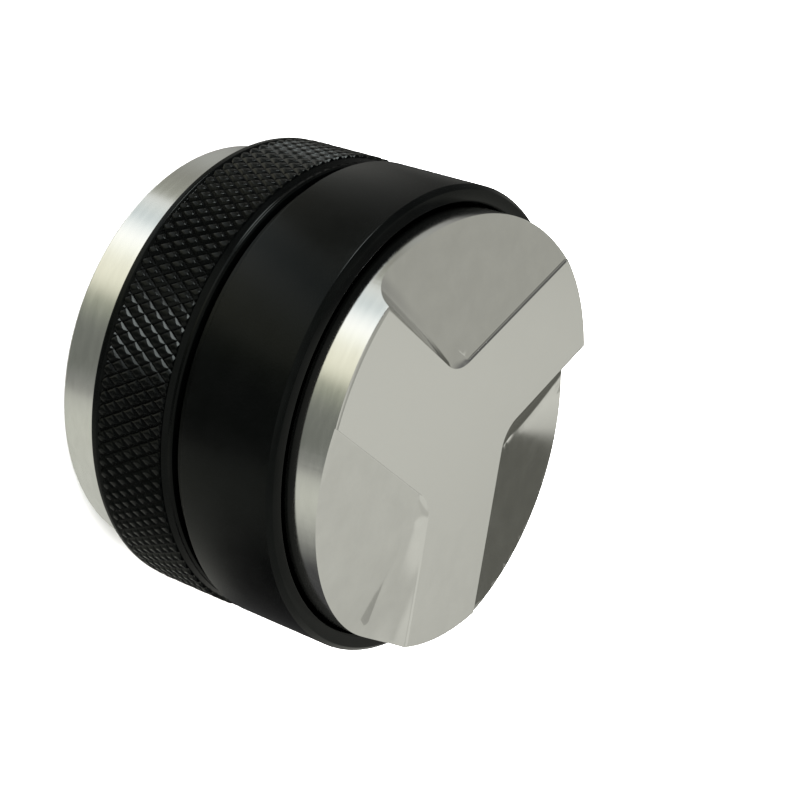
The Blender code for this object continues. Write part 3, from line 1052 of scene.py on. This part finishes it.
def make_light():
    """A soft overhead light for the floor, which the steel doesn't mirror."""
    lamp = bpy.data.lights.new("overhead", "SUN")
    lamp.energy = SUN_STRENGTH
    lamp.angle = SUN_SPREAD
    light = bpy.data.objects.new("overhead", lamp)
    bpy.context.scene.collection.objects.link(light)
    light.rotation_euler = SUN_TILT
    light.visible_glossy = False


def panel_ring(n, place, z):
    """The strip panels that the upright steel mirrors, and the shade under the table at one side."""
    ahead = n.toward(place, Vector((cos(PANEL_MIDDLE), sin(PANEL_MIDDLE), 0.0)))
    aside = n.toward(place, Vector((-sin(PANEL_MIDDLE), cos(PANEL_MIDDLE), 0.0)))
    spread = n.math("ADD", n.math("MULTIPLY", n.math("SUBTRACT", z, WALL_VIEW), PANEL_SPREAD), 1.0)
    swung = n.math("MULTIPLY", n.math("ARCTAN2", aside, ahead), spread)
    azimuth = n.math("ADD", n.math("DIVIDE", swung, 2 * pi), 0.5)
    ring = n.add("ShaderNodeValToRGB")
    n.link(azimuth, ring.inputs[0])
    stops = ring.color_ramp.elements
    for (degrees_round, colour), stop in zip(PANELS, list(stops)):
        stop.position = degrees_round / 360 + 0.5
        stop.color = (*colour, 1.0)
    for degrees_round, colour in PANELS[2:]:
        stop = stops.new(degrees_round / 360 + 0.5)
        stop.color = (*colour, 1.0)
    under = n.both(n.past(azimuth, UNDER_ROUND), n.past(z, UNDER_TOP))
    return n.blend(under, ring.outputs[0], UNDER_SHADE)


def table_and_room(n, place, x, y, z):
    """What the faces mirror: the pale table with painted shade where the tool's own shadow would lie on it,
    the room beyond its edge, and dark and light cards on it.
    """
    height = n.toward(place, ROOM_UP)
    far = n.past(y, FAR_SIDE)
    edge = n.math("ADD", n.math("ADD", height, EDGE_LIFT), n.math("MULTIPLY", far, EDGE_FAR_LIFT))
    beyond = n.blend(far, ROOM_NEAR, ROOM_FAR)
    ceiling = n.blend(n.past(z, CEILING_OVERHEAD), ROOM_HIGH, ROOM_FAR)
    room = n.blend(n.past(height, CEILING_START), beyond, ceiling)

    # Painted shade: the mirrored table is darkened where the tool's own shadow would lie, deeper further
    # along and in a band at one side
    painted_shade_line = n.math("SUBTRACT", x, n.math("MULTIPLY", z, PAINTED_SHADE_LEAN))
    top = n.blend(n.past(painted_shade_line, PAINTED_SHADE_START), TABLE, TABLE_IN_PAINTED_SHADE)
    top = n.blend(n.past(painted_shade_line, DEEP_PAINTED_SHADE_START), top, TABLE_IN_DEEP_PAINTED_SHADE)
    top = n.blend(n.past(x, SIDE_PAINTED_SHADE_START), top, TABLE_IN_DEEP_PAINTED_SHADE)
    top = n.blend(n.past(x, SIDE_PAINTED_SHADE_END), top, TABLE_FAR)
    view = n.blend(n.past(edge, TABLE_END), top, room)

    card_width = n.both(n.past(x, CARD_LEFT), n.before(x, CARD_RIGHT))
    card_height = n.both(n.before(z, CARD_TOP), n.past(y, CARD_BACK))
    view = n.blend(n.both(card_width, card_height), view, CARD_SHADE)
    skirting_width = n.both(n.past(x, SKIRTING_LEFT), n.before(x, SKIRTING_RIGHT))
    skirting_height = n.both(n.before(z, SKIRTING_TOP), n.past(y, SKIRTING_BACK))
    view = n.blend(n.both(skirting_width, skirting_height), view, CARD_SHADE)
    bounce = n.both(n.before(y, BOUNCE_FRONT), n.past(z, BOUNCE_FOOT))
    return n.blend(bounce, view, BOUNCE)


def make_room():
    """What the steel and the black collars mirror. The camera itself sees plain white past the floor."""
    world = bpy.data.worlds.new("studio")
    bpy.context.scene.world = world
    world.use_nodes = True
    world.node_tree.nodes.clear()
    n = Nodes(world.node_tree)
    place = n.add("ShaderNodeTexCoord").outputs["Generated"]
    parts = n.add("ShaderNodeSeparateXYZ")
    n.link(place, parts.inputs[0])
    x, y, z = parts.outputs
    whole = n.blend(n.past(z, PANELS_TOP), panel_ring(n, place, z), table_and_room(n, place, x, y, z))
    whole = n.blend(n.past(n.toward(place, SIDE_LAMP), SIDE_LAMP_RIM), whole, SIDE_LAMP_COLOUR)

    shade = n.add("ShaderNodeBackground")
    n.link(whole, shade.inputs["Color"])
    plain = n.add("ShaderNodeBackground")
    plain.inputs["Color"].default_value = WHITE
    seen = n.add("ShaderNodeLightPath").outputs["Is Camera Ray"]
    mixed = n.add("ShaderNodeMixShader")
    n.link(seen, mixed.inputs[0])
    n.link(shade.outputs[0], mixed.inputs[1])
    n.link(plain.outputs[0], mixed.inputs[2])
    output = n.add("ShaderNodeOutputWorld")
    n.link(mixed.outputs[0], output.inputs["Surface"])


def make_camera():
    data = bpy.data.cameras.new("camera")
    data.lens = CAMERA_LENS
    data.sensor_width = CAMERA_SENSOR
    data.clip_start = CAMERA_NEAR
    camera = bpy.data.objects.new("camera", data)
    bpy.context.scene.collection.objects.link(camera)
    bpy.context.scene.camera = camera
    forward = Vector(
        (
            sin(CAMERA_AZIMUTH) * cos(CAMERA_ELEVATION),
            cos(CAMERA_AZIMUTH) * cos(CAMERA_ELEVATION),
            -sin(CAMERA_ELEVATION),
        )
    )
    level = forward.cross(Vector((0.0, 0.0, 1.0))).normalized()
    upright = level.cross(forward)
    right = level * cos(CAMERA_ROLL) + upright * sin(CAMERA_ROLL)
    up = upright * cos(CAMERA_ROLL) - level * sin(CAMERA_ROLL)
    turn = Matrix((right, up, -forward)).transposed().to_4x4()
    camera.matrix_world = Matrix.Translation(CAMERA_AIM - forward * CAMERA_DISTANCE) @ turn


# ---------------------------------------------------------------- assembly


def stand_in(piece, node, body):
    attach(piece, body)
    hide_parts(node)


def main():
    wall = turned_steel()
    land = satin_steel("satin_stainless_steel", 0.20, 0.25, 0.15)
    ramp = satin_steel("milled_stainless_steel", 0.08, 0.11, 0.05)
    black = anodised("black_anodised_satin", 0.19, 0.23)
    knurled_black = anodised("black_anodised_knurl", 0.16, 0.21)
    aluminium = bare_aluminium()

    tamper = make_tamper_base()
    coat(tamper, wall)
    stand_in(tamper, "tamper_base", "core")

    head = make_distributor_head()
    paint_head(head, wall, land, ramp)
    stand_in(head, "distributor_head", "core")

    smooth_collar = make_smooth_collar()
    coat(smooth_collar, black)
    stand_in(smooth_collar, "smooth_collar", "distributor_collar")

    knurled = make_knurled_collar()
    coat(knurled, knurled_black)
    stand_in(knurled, "knurled_collar", "depth_collar")

    ring = make_centre_ring()
    coat(ring, black)
    stand_in(ring, "centre_ring", "core")

    for hub, node in ((make_tamper_hub(), "tamper_hub"), (make_distributor_hub(), "distributor_hub")):
        coat(hub, aluminium)
        stand_in(hub, node, "core")
        smooth(hub)

    for piece in (tamper, head, smooth_collar, knurled, ring):
        smooth(piece)
    for piece in (tamper, head):
        weighted = piece.modifiers.new("Even shading", "WEIGHTED_NORMAL")
        weighted.keep_sharp = True
        weighted.weight = SHADING_WEIGHT

    steel = fastener_steel()
    rubber = nitrile()
    for name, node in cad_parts.items():
        if "screw" in name or "stud" in name:
            coat(node, steel)
        elif "drag" in name:
            coat(node, rubber)

    make_floor()
    make_light()
    make_room()
    make_camera()
    bpy.context.scene.view_settings.view_transform = "Standard"


main()
